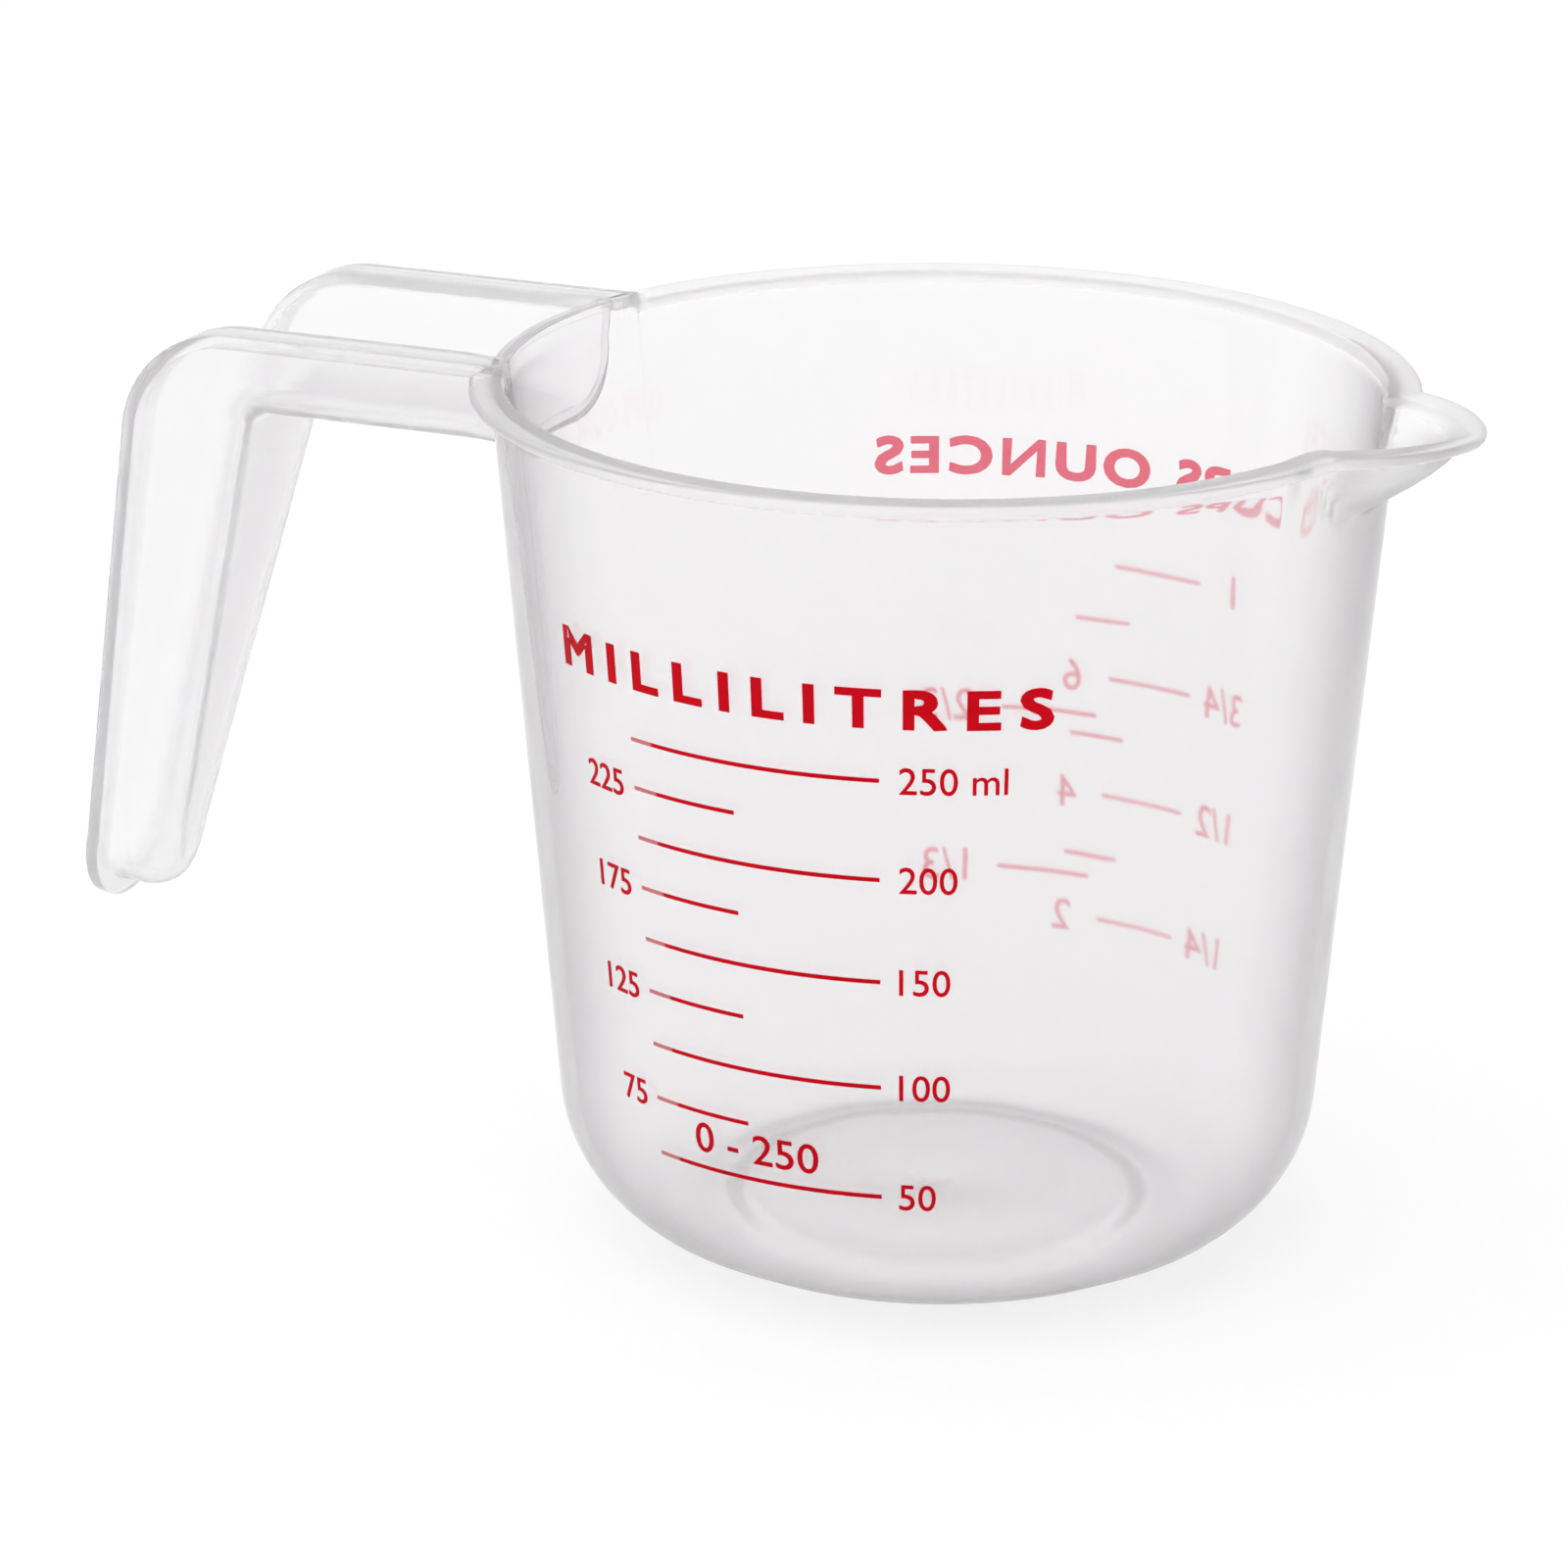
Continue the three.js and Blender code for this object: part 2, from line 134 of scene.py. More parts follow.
# Turned round the axis in sweeps of so many degrees and steps, with the finest steps at the spout
# and at both ends of the lip
SWEEPS = [(44, 100), (134, 50), (8, 40), (32, 32), (8, 40), (134, 50)]
SWEEP_MERGE = 0.004
turn_back = Matrix.Rotation(math.radians(-SWEEPS[0][0] / 2), 3, "Z")
bmesh.ops.rotate(bowl_mesh, verts=bowl_mesh.verts, cent=(0, 0, 0), matrix=turn_back)
sweep = bowl_mesh.verts[:] + bowl_mesh.edges[:]
for degrees, steps in SWEEPS:
    turned = bmesh.ops.spin(
        bowl_mesh,
        geom=sweep,
        cent=(0, 0, 0),
        axis=(0, 0, 1),
        angle=math.radians(degrees),
        steps=steps,
    )
    sweep = turned["geom_last"]
bmesh.ops.remove_doubles(bowl_mesh, verts=bowl_mesh.verts, dist=SWEEP_MERGE * MM)
bmesh.ops.recalc_face_normals(bowl_mesh, faces=bowl_mesh.faces)

# The wall is drawn out into the spout: in plan a rounded point, which draws back with depth.
# The hollow flares out to a narrow edge at the point, and the lip ends in rounds at the handle.
SPOUT_REACH = 9.0
SPOUT_HALF_WIDTH = 10.4
SPOUT_DEPTH = 7.8
SPOUT_INSET = 2.3
SPOUT_POINT = 1.65
SPOUT_BELLY = 1.6
SPOUT_BLEND = 0.7
SPOUT_BLEND_INSIDE = 0.3
SPOUT_FLARE = 1.9
SPOUT_FLARE_DEPTH = 2.0
SPOUT_SHARPENING = 0.2
SPOUT_HALF_ANGLE = math.radians(24)
SWELLING = 0.3
SWELLING_ANGLES = (14, 17.6, 22)
SWELLING_BOTTOM = RIM_HEIGHT - 10
SWELLING_TOP = RIM_HEIGHT - 1
LIP_AT_POINT = 0.81
LIP_END_ROUND = 1.8
LIP_END_SHARE = 0.97
HANDLE_RISE = 0.5
RISE_RUN = 0.4
RISE_DEPTH = 2.0
SHAPED_DEPTH = 20.0
SHAPED_RADIUS = 30.0
FLANGE_HALF_WIDTH = 16.4
spout_growth = 1 / math.cos(math.atan(SPOUT_REACH / SPOUT_DEPTH))


def eased(value, start, end):
    share = min(max((value - start) / (end - start), 0), 1)
    return share * share * (3 - 2 * share)


def spout_radius(angle, height, outside):
    """Distance from the axis to the spout, for a surface that far outside the wall's outer face."""
    within = min(max(1 + outside / WALL, 0), 1)
    reach = SPOUT_REACH + within * WALL * spout_growth + max(outside, 0) * LIP_AT_POINT
    half_width = SPOUT_HALF_WIDTH + within * WALL + max(outside, 0)
    depth = SPOUT_DEPTH * (1 + within * WALL * spout_growth / SPOUT_REACH)
    share = max(RIM_HEIGHT - height, 0) / depth
    if share >= 1 or abs(angle) > SPOUT_HALF_ANGLE:
        return 0
    root = wall_radius(height) - SPOUT_INSET
    reach *= 1 - share**SPOUT_BELLY
    flare = eased(height, RIM_HEIGHT - SPOUT_FLARE_DEPTH, RIM_HEIGHT)
    reach += SPOUT_FLARE * (1 - within) * flare
    point = SPOUT_POINT - SPOUT_SHARPENING * (1 - within)
    half_width *= math.sqrt(1 - share * share)
    near, far = root / math.cos(angle), root + reach + 1
    if near * abs(math.sin(angle)) > half_width:
        return 0
    for _ in range(40):
        middle = (near + far) / 2
        along = max(middle * math.cos(angle) - root, 0) / reach
        across = middle * abs(math.sin(angle)) / half_width
        if along**point + across**point < 1:
            near = middle
        else:
            far = middle
    return near


def swelling(degrees, height):
    """How far the wall swells inwards beside the mouth of the spout, where the plastic gathers."""
    start, peak, end = SWELLING_ANGLES
    beside = eased(degrees, end, peak) * eased(degrees, start, peak)
    return SWELLING * beside * eased(height, SWELLING_BOTTOM, SWELLING_TOP)


for vert in bowl_mesh.verts:
    radius = math.hypot(vert.co.x, vert.co.y) / MM
    height = vert.co.z / MM
    if height < RIM_HEIGHT - SHAPED_DEPTH or radius < SHAPED_RADIUS:
        continue
    angle = math.atan2(vert.co.y, vert.co.x)
    outside = radius - wall_radius(height)
    inside = outside < -WALL / 2
    if vert.co.x < 0:
        beside_handle = abs(vert.co.y) / MM - FLANGE_HALF_WIDTH
        lip_share = min(max(beside_handle / LIP_END_ROUND, 0), 1)
        if outside > 0:
            radius -= outside * (1 - math.sqrt(1 - (1 - lip_share) ** 2)) * LIP_END_SHARE
        at_handle = eased(beside_handle, RISE_RUN, 0)
        at_top = eased(height, lip_bottom - RISE_DEPTH, lip_bottom)
        vert.co.z += HANDLE_RISE * at_handle * at_top * MM
    if inside:
        radius -= swelling(abs(math.degrees(angle)), height)
    drawn = spout_radius(angle, height, outside)
    blend = SPOUT_BLEND_INSIDE if inside else SPOUT_BLEND
    gap = min(max(0.5 + 0.5 * (drawn - radius) / blend, 0), 1)
    radius = radius + (drawn - radius) * gap + blend * gap * (1 - gap)
    vert.co.x = radius * math.cos(angle) * MM
    vert.co.y = radius * math.sin(angle) * MM

lip_reach = WALL * spout_growth + LIP_OVERHANG * LIP_AT_POINT
spout_tip = WALL_RADIUS_TOP - SPOUT_INSET + SPOUT_REACH + lip_reach
axis_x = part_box("bowl")[1].x - spout_tip * MM
bmesh.ops.translate(bowl_mesh, verts=bowl_mesh.verts, vec=(axis_x, 0, 0))
for face in bowl_mesh.faces:
    face.smooth = True
bowl_data = bpy.data.meshes.new("moulded_bowl")
bowl_mesh.to_mesh(bowl_data)
bowl_mesh.free()
bowl = bpy.data.objects.new("moulded_bowl", bowl_data)
bpy.context.collection.objects.link(bowl)

# Flow marks: soft clouds that the melt leaves in the moulding's tint and haze, and slight waves
flow_marks = bpy.data.node_groups.new("flow_marks", "ShaderNodeTree")
flow_marks.interface.new_socket("Vector", in_out="INPUT", socket_type="NodeSocketVector")
flow_marks.interface.new_socket("Clear", in_out="INPUT", socket_type="NodeSocketFloat")
flow_marks.interface.new_socket("Hazy", in_out="INPUT", socket_type="NodeSocketFloat")
flow_marks.interface.new_socket("Tint", in_out="OUTPUT", socket_type="NodeSocketColor")
flow_marks.interface.new_socket("Roughness", in_out="OUTPUT", socket_type="NodeSocketFloat")
flow_marks.interface.new_socket("Normal", in_out="OUTPUT", socket_type="NodeSocketVector")
nodes, links = flow_marks.nodes, flow_marks.links
taken = nodes.new("NodeGroupInput")
given = nodes.new("NodeGroupOutput")
cloud = nodes.new("ShaderNodeTexNoise")
cloud.inputs["Scale"].default_value = 38
cloud.inputs["Detail"].default_value = 3
links.new(taken.outputs["Vector"], cloud.inputs["Vector"])
tint = nodes.new("ShaderNodeMix")
tint.data_type = "RGBA"
tint.inputs["A"].default_value = (0.989, 0.982, 0.990, 1)
tint.inputs["B"].default_value = (0.998, 0.993, 0.999, 1)
links.new(cloud.outputs["Fac"], tint.inputs["Factor"])
links.new(tint.outputs["Result"], given.inputs["Tint"])
haze = nodes.new("ShaderNodeMapRange")
links.new(cloud.outputs["Fac"], haze.inputs["Value"])
links.new(taken.outputs["Clear"], haze.inputs["To Min"])
links.new(taken.outputs["Hazy"], haze.inputs["To Max"])
links.new(haze.outputs["Result"], given.inputs["Roughness"])
wave = nodes.new("ShaderNodeTexNoise")
wave.inputs["Scale"].default_value = 110
wave.inputs["Detail"].default_value = 1
links.new(taken.outputs["Vector"], wave.inputs["Vector"])
waves = nodes.new("ShaderNodeBump")
waves.inputs["Distance"].default_value = 0.04 * MM
links.new(wave.outputs["Fac"], waves.inputs["Height"])
links.new(waves.outputs["Normal"], given.inputs["Normal"])

# Milky polypropylene: it lets most of the light through and scatters the rest white. Where it is
# seen edge on its colour is darkened, a painted shade along its silhouettes and edges
PLASTIC_IOR = 1.49
PLASTIC_CLEAR_SHARE = 0.83
PLASTIC_DEPTH_COLOUR = (0.7, 0.62, 0.65, 1)
PLASTIC_DEPTH_DENSITY = 1


def polypropylene(name, clear, hazy, edge):
    material = bpy.data.materials.new(name)
    material.use_nodes = True
    nodes, links = material.node_tree.nodes, material.node_tree.links
    shader = nodes["Principled BSDF"]
    shader.inputs["IOR"].default_value = PLASTIC_IOR
    shader.inputs["Transmission Weight"].default_value = PLASTIC_CLEAR_SHARE
    place = nodes.new("ShaderNodeTexCoord")
    place.name = "place"
    flow = nodes.new("ShaderNodeGroup")
    flow.name = "flow"
    flow.node_tree = flow_marks
    flow.inputs["Clear"].default_value = clear
    flow.inputs["Hazy"].default_value = hazy
    links.new(place.outputs["Object"], flow.inputs["Vector"])
    links.new(flow.outputs["Roughness"], shader.inputs["Roughness"])
    links.new(flow.outputs["Normal"], shader.inputs["Normal"])
    # Painted shade: the colour is pulled towards the darker edge colour where the surface is seen
    # edge on
    edge_on = nodes.new("ShaderNodeLayerWeight")
    edge_on.inputs["Blend"].default_value = 0.25
    painted_shade_share = nodes.new("ShaderNodeMapRange")
    painted_shade_share.name = "painted_shade_share"
    painted_shade_share.interpolation_type = "SMOOTHSTEP"
    painted_shade_share.inputs["From Min"].default_value = 0.2
    painted_shade_share.inputs["From Max"].default_value = 0.7
    links.new(edge_on.outputs["Facing"], painted_shade_share.inputs["Value"])
    painted_edge_shade = nodes.new("ShaderNodeMix")
    painted_edge_shade.data_type = "RGBA"
    painted_edge_shade.inputs["B"].default_value = edge
    links.new(painted_shade_share.outputs["Result"], painted_edge_shade.inputs["Factor"])
    links.new(flow.outputs["Tint"], painted_edge_shade.inputs["A"])
    links.new(painted_edge_shade.outputs["Result"], shader.inputs["Base Color"])
    depth_tint = nodes.new("ShaderNodeVolumeAbsorption")
    depth_tint.inputs["Color"].default_value = PLASTIC_DEPTH_COLOUR
    depth_tint.inputs["Density"].default_value = PLASTIC_DEPTH_DENSITY
    links.new(depth_tint.outputs["Volume"], nodes["Material Output"].inputs["Volume"])
    return material


def ramp(tree, value, from_min, from_max, to_min, to_max):
    node = tree.nodes.new("ShaderNodeMapRange")
    node.inputs["From Min"].default_value = from_min
    node.inputs["From Max"].default_value = from_max
    node.inputs["To Min"].default_value = to_min
    node.inputs["To Max"].default_value = to_max
    tree.links.new(value, node.inputs["Value"])
    return node.outputs["Result"]


def combined(tree, operation, first, second):
    node = tree.nodes.new("ShaderNodeMath")
    node.operation = operation
    tree.links.new(first, node.inputs[0])
    tree.links.new(second, node.inputs[1])
    return node.outputs["Value"]


# The bowl's plastic is hazier in the lip, the spout and the base, and its painted edge shade
# fades almost to nothing on the rim; places along the cup are measured from the bowl's axis
LIP_HAZE = 0.3
LIP_HAZE_RUN = 0.1
LIP_HAZE_START = -42.0
LIP_HAZE_FULL = -40.0
SPOUT_HAZE = 0.2
SPOUT_HAZE_START = 40.5
SPOUT_HAZE_FULL = 43.5
BASE_HAZE = 0.2
RIM_PAINTED_SHADE_SHARE = 0.02
RIM_PAINTED_SHADE_RUN = 1.0
# The edge colour is the painted shade where the bowl is seen edge on
bowl_plastic = polypropylene(
    "bowl_polypropylene", clear=0.03, hazy=0.06, edge=(0.32, 0.305, 0.315, 1)
)
tree = bowl_plastic.node_tree
spot = tree.nodes.new("ShaderNodeSeparateXYZ")
tree.links.new(tree.nodes["place"].outputs["Object"], spot.inputs["Vector"])
along, up = spot.outputs["X"], spot.outputs["Z"]
lip_level = lip_bottom * MM
# Painted edge shade, weakened to a trace across the lip
rim_painted_shade = ramp(tree, up, lip_level - RIM_PAINTED_SHADE_RUN * MM, lip_level, 1, RIM_PAINTED_SHADE_SHARE)
tree.links.new(rim_painted_shade, tree.nodes["painted_shade_share"].inputs["To Max"])
rim_haze = ramp(tree, up, lip_level - LIP_HAZE_RUN * MM, lip_level, 0, LIP_HAZE)
lip_span = ramp(tree, along, axis_x + LIP_HAZE_START * MM, axis_x + LIP_HAZE_FULL * MM, 0, 1)
lip_haze = combined(tree, "MULTIPLY", rim_haze, lip_span)
spout_start, spout_full = axis_x + SPOUT_HAZE_START * MM, axis_x + SPOUT_HAZE_FULL * MM
spout_haze = ramp(tree, along, spout_start, spout_full, 0, SPOUT_HAZE)
base_haze = ramp(tree, up, CORNER_RADIUS * MM, 0, 0, BASE_HAZE)
top_haze = combined(tree, "MAXIMUM", lip_haze, spout_haze)
haze = combined(tree, "ADD", top_haze, base_haze)
roughness = combined(tree, "ADD", tree.nodes["flow"].outputs["Roughness"], haze)
tree.links.new(roughness, tree.nodes["Principled BSDF"].inputs["Roughness"])
bowl.data.materials.append(bowl_plastic)
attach(bowl, "root")
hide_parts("bowl")

# Handle. An open trough with a flat flange along its edge, moulded on the bowl opposite the
# spout: level at first, bent down, then narrowing along the leg to a round scooped end.
HANDLE_REACH = 79.9
HANDLE_LEAN = math.radians(11.7)
BEND_RADIUS = 12.0
TIP_HEIGHT = 20.6
TIP_RADIUS = 9.4
FLANGE_WIDTH = 5.9
FLANGE_WIDTH_TIP = 4.3
TROUGH_DEPTH = 8.7
TROUGH_DEPTH_TIP = 6.3
TROUGH_DRAFT = math.tan(math.radians(13))
TROUGH_CORNER = 2.3
TROUGH_CORNER_TIP = 3.4
TROUGH_EDGE = 1.7
ROOT_LENGTH = 6.0
ROOT_WIDENING = 1.4
ROOT_DROP = 1.6
ROOT_CORNER = 7.2
FLANGE_ROUND = 0.6
SCOOP_FULLNESS = 0.28
HIDDEN_SHARE = 0.025
SECTION_ROWS = (4, 4, 8, 16, 12)
HANDLE_STEPS = 280
LEVEL_END = 0.25
BEND_END = 0.45
LEG_END = 0.8
LEVEL_CROWDING = 1.6
HANDLE_MERGE = 0.01
FLANGE_ROUND_ANGLE = math.radians(60)
flange_top = RIM_HEIGHT + HANDLE_RISE
turn_angle = math.pi / 2 - HANDLE_LEAN
bend_start = -HANDLE_REACH + BEND_RADIUS * math.tan(turn_angle / 2)
leg_top = flange_top - BEND_RADIUS * (1 - math.cos(turn_angle))
leg_length = (leg_top - TIP_HEIGHT) / math.cos(HANDLE_LEAN) - TIP_RADIUS


def root_opening(x):
    """How far the trough has opened out towards the bowl, along a quarter round: 1 at the wall."""
    near = min(max((ROOT_LENGTH + WALL_RADIUS_TOP + x) / ROOT_LENGTH, 0), 1)
    return 1 - math.sqrt(1 - near * near)


def handle_section(along_leg, opened, across):
    """Sideways place and depth on the handle's upper face, across from flange edge to middle."""
    half = FLANGE_HALF_WIDTH + (TIP_RADIUS - FLANGE_HALF_WIDTH) * along_leg
    flange = FLANGE_WIDTH + (FLANGE_WIDTH_TIP - FLANGE_WIDTH) * along_leg - ROOT_WIDENING * opened
    depth = TROUGH_DEPTH + (TROUGH_DEPTH_TIP - TROUGH_DEPTH) * along_leg + ROOT_DROP * opened
    corner = TROUGH_CORNER + (TROUGH_CORNER_TIP - TROUGH_CORNER) * along_leg
    corner += (ROOT_CORNER - corner) * opened
    mouth = half - flange
    side_depth = depth - corner - TROUGH_EDGE
    foot = mouth - TROUGH_DRAFT * side_depth
    row = across * sum(SECTION_ROWS)
    flange_rows, edge_rows, side_rows, corner_rows, floor_rows = SECTION_ROWS
    if row < flange_rows:
        return half - (flange - TROUGH_EDGE) * row / flange_rows, 0
    row -= flange_rows
    if row < edge_rows:
        turn = math.pi / 2 * row / edge_rows
        return mouth + TROUGH_EDGE * (1 - math.sin(turn)), TROUGH_EDGE * (1 - math.cos(turn))
    row -= edge_rows
    if row < side_rows:
        down = side_depth * row / side_rows
        return mouth - TROUGH_DRAFT * down, TROUGH_EDGE + down
    row -= side_rows
    if row < corner_rows:
        turn = math.pi / 2 * row / corner_rows
        return foot - corner + corner * math.cos(turn), depth - corner + corner * math.sin(turn)
    row -= corner_rows
    return (foot - corner) * (1 - row / floor_rows), depth


def handle_point(share, across):
    """Point of the handle's upper face, with share from the bowl down, round the end and back."""
    side = 1 if share <= 0.5 else -1
    run = 2 * min(share, 1 - share)
    if run < LEVEL_END:
        level_share = (run / LEVEL_END) ** LEVEL_CROWDING
        if run > 0:
            level_share += HIDDEN_SHARE * (1 - level_share)
        opened = root_opening(-WALL_RADIUS_TOP + (bend_start + WALL_RADIUS_TOP) * level_share)
        sideways, depth = handle_section(0, opened, across)
        z = flange_top - depth
        radius = wall_radius(z) - WALL / 2
        x = -math.sqrt(radius * radius - sideways * sideways)
        x += (bend_start - x) * level_share
        return Vector((x, side * sideways, z))
    if run < BEND_END:
        sideways, depth = handle_section(0, 0, across)
        turn = turn_angle * (run - LEVEL_END) / (BEND_END - LEVEL_END)
        reach = BEND_RADIUS - depth
        x = bend_start - reach * math.sin(turn)
        return Vector((x, side * sideways, flange_top - BEND_RADIUS + reach * math.cos(turn)))
    along_leg = min((run - BEND_END) / (LEG_END - BEND_END), 1)
    sideways, depth = handle_section(along_leg, 0, across)
    distance = leg_length * along_leg
    if run > LEG_END:
        turn = math.pi / 2 * (run - LEG_END) / (1 - LEG_END)
        distance += (sideways + (TIP_RADIUS - sideways) * SCOOP_FULLNESS) * math.sin(turn)
        sideways *= math.cos(turn)
    reach = BEND_RADIUS - depth
    x = bend_start - reach * math.sin(turn_angle) - distance * math.cos(turn_angle)
    z = flange_top - BEND_RADIUS + reach * math.cos(turn_angle) - distance * math.sin(turn_angle)
    return Vector((x, side * sideways, z))


handle_mesh = bmesh.new()
bmesh.ops.create_grid(
    handle_mesh, x_segments=HANDLE_STEPS, y_segments=sum(SECTION_ROWS), size=1
)
for vert in handle_mesh.verts:
    vert.co = handle_point((vert.co.x + 1) / 2, (vert.co.y + 1) / 2) * MM
bmesh.ops.remove_doubles(handle_mesh, verts=handle_mesh.verts, dist=HANDLE_MERGE * MM)
bmesh.ops.recalc_face_normals(handle_mesh, faces=handle_mesh.faces)
bmesh.ops.translate(handle_mesh, verts=handle_mesh.verts, vec=(axis_x, 0, 0))
for face in handle_mesh.faces:
    face.smooth = True
handle_data = bpy.data.meshes.new("moulded_handle")
handle_mesh.to_mesh(handle_data)
handle_mesh.free()
handle = bpy.data.objects.new("moulded_handle", handle_data)
bpy.context.collection.objects.link(handle)
shell = handle.modifiers.new("wall", "SOLIDIFY")
shell.thickness = WALL * MM
shell.offset = -1
shell.use_even_offset = True
rounding = handle.modifiers.new("rounding", "BEVEL")
rounding.width = FLANGE_ROUND * MM
rounding.segments = 4
rounding.profile = 0.5
rounding.limit_method = "ANGLE"
rounding.angle_limit = FLANGE_ROUND_ANGLE

# The handle's plastic is hazier than the wall all over, with a lighter painted edge shade
handle_plastic = polypropylene(
    "handle_polypropylene", clear=0.14, hazy=0.24, edge=(0.73, 0.715, 0.725, 1)
)
handle.data.materials.append(handle_plastic)
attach(handle, "root")
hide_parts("handle")

# Printed lines. Red ink, screen printed on the outside of the wall after moulding: a little
# uneven in depth of colour, and thin enough to glow against the light. The back's ink is painted
# lighter and pinker than the front's, as painted light for light shining through it from inside.
INK_IOR = 1.15
INK_CLEAR_SHARE = 0.88
INK_ROUGHNESS = 0.4


def printing_ink(name, deep, light):
    material = bpy.data.materials.new(name)
    material.use_nodes = True
    nodes, links = material.node_tree.nodes, material.node_tree.links
    shader = nodes["Principled BSDF"]
    shader.inputs["Roughness"].default_value = INK_ROUGHNESS
    shader.inputs["IOR"].default_value = INK_IOR
    shader.inputs["Transmission Weight"].default_value = INK_CLEAR_SHARE
    place = nodes.new("ShaderNodeTexCoord")
    grain = nodes.new("ShaderNodeTexNoise")
    grain.inputs["Scale"].default_value = 900
    links.new(place.outputs["Object"], grain.inputs["Vector"])
    shade = nodes.new("ShaderNodeMix")
    shade.data_type = "RGBA"
    shade.inputs["A"].default_value = deep
    shade.inputs["B"].default_value = light
    links.new(grain.outputs["Fac"], shade.inputs["Factor"])
    links.new(shade.outputs["Result"], shader.inputs["Base Color"])
    return material


front_ink = printing_ink(
    "front_ink", deep=(0.62, 0.001, 0.008, 1), light=(0.76, 0.002, 0.014, 1)
)
# Painted light: the back ink is lighter and pinker, standing in for light through it from inside
# the cup
back_ink_painted_backlit = printing_ink("back_ink_painted_backlit", deep=(0.8, 0.001, 0.07, 1), light=(0.92, 0.003, 0.11, 1))
for name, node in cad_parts.items():
    if name.startswith("mark_"):
        node.data.materials.clear()
        node.data.materials.append(front_ink if name.endswith("_ml") else back_ink_painted_backlit)

# Numerals and headings. Printed in the same inks and the same pass as the lines: millilitres on
# the front, fractions of a cup and ounces on the back, each number level with its line.
INK_BOTTOM = 0.05
INK_TOP = 0.16
FONT_CAP = 0.682
LABEL_STRIP = 0.2
NUMERAL_CAP = 2.6
NUMERAL_STRETCH = 3.75
NUMERAL_WEIGHT = 0.004
HEADING_CAP = 3.6
HEADING_WEIGHT = 0.042
HEADING_LEVEL = 66.2
LETTER_MERGE = 0.0005
PRINT_MERGE = 0.002


def print_label(printed, text, degrees, anchor, level, cap, stretch, weight, spacing=1):
    """Lay a label on the wall, with its start (0), middle (0.5) or end (1) at an angle."""
    letters = bpy.data.curves.new("letters", "FONT")
    letters.body = text
    letters.space_character = spacing
    letters.extrude = 0.5
    letters.resolution_u = 4
    holder = bpy.data.objects.new("letters", letters)
    bpy.context.collection.objects.link(holder)
    shown = holder.evaluated_get(bpy.context.evaluated_depsgraph_get())
    flat = bpy.data.meshes.new_from_object(shown)
    bpy.data.objects.remove(holder)
    label = bmesh.new()
    label.from_mesh(flat)
    bmesh.ops.remove_doubles(label, verts=label.verts, dist=LETTER_MERGE)
    outwards = {}
    for vert in label.verts:
        sides = [face.normal for face in vert.link_faces if abs(face.normal.z) < 0.5]
        outwards[vert] = sum(sides, Vector()).normalized()
    for vert, outward in outwards.items():
        vert.co += outward * weight
    left = min(vert.co.x for vert in label.verts)
    right = max(vert.co.x for vert in label.verts)
    for cut in range(1, math.ceil((right - left) / LABEL_STRIP)):
        whole = label.verts[:] + label.edges[:] + label.faces[:]
        cut_place = (left + cut * LABEL_STRIP, 0, 0)
        bmesh.ops.bisect_plane(label, geom=whole, plane_co=cut_place, plane_no=(1, 0, 0))
    for vert in label.verts:
        along = vert.co.x - left - (right - left) * anchor
        height = level + (vert.co.y / FONT_CAP - 0.5) * cap
        radius = wall_radius(height) + INK_BOTTOM + (vert.co.z + 0.5) * (INK_TOP - INK_BOTTOM)
        angle = math.radians(degrees) + along * stretch / wall_radius(level)
        vert.co = Vector((radius * math.cos(angle), radius * math.sin(angle), height)) * MM
        vert.co.x += axis_x
    label.to_mesh(flat)
    label.free()
    printed.from_mesh(flat)


def line_level(mark):
    low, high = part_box(mark)
    return (low.z + high.z) / 2 / MM


def numeral(printed, text, degrees, anchor, mark, size=1):
    cap, stretch = NUMERAL_CAP * size, NUMERAL_STRETCH * size
    print_label(printed, text, degrees, anchor, line_level(mark), cap, stretch, NUMERAL_WEIGHT)


def finish_print(printed, name, ink):
    bmesh.ops.remove_doubles(printed, verts=printed.verts, dist=PRINT_MERGE * MM)
    bmesh.ops.recalc_face_normals(printed, faces=printed.faces)
    data = bpy.data.meshes.new(name)
    printed.to_mesh(data)
    printed.free()
    piece = bpy.data.objects.new(name, data)
    bpy.context.collection.objects.link(piece)
    piece.data.materials.append(ink)
    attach(piece, "root")


# The front, with its numerals right and left of the lines; angles are in degrees round the axis
FRONT_RIGHT = -73.6
FRONT_LEFT = -114.6
FRONT_HEADING = -89.9
FRONT_HEADING_STRETCH = 6.9
FRONT_HEADING_SPACING = 1.5
RANGE_ANGLE = -95.2
RANGE_LEVEL = 19.5
RANGE_CAP = 3.0
RANGE_STRETCH = 4.7
front_print = bmesh.new()
for volume in (50, 100, 150, 200):
    numeral(front_print, str(volume), FRONT_RIGHT, 0, f"mark_{volume}_ml")
numeral(front_print, "250 ml", FRONT_RIGHT, 0, "mark_250_ml")
for volume in (75, 125, 175, 225):
    numeral(front_print, str(volume), FRONT_LEFT, 1, f"mark_{volume}_ml")
print_label(
    front_print,
    "0 - 250",
    RANGE_ANGLE,
    0.5,
    RANGE_LEVEL,
    RANGE_CAP,
    RANGE_STRETCH,
    NUMERAL_WEIGHT,
)
print_label(
    front_print,
    "MILLILITRES",
    FRONT_HEADING,
    0.5,
    HEADING_LEVEL,
    HEADING_CAP,
    FRONT_HEADING_STRETCH,
    HEADING_WEIGHT,
    FRONT_HEADING_SPACING,
)
finish_print(front_print, "front_print", front_ink)

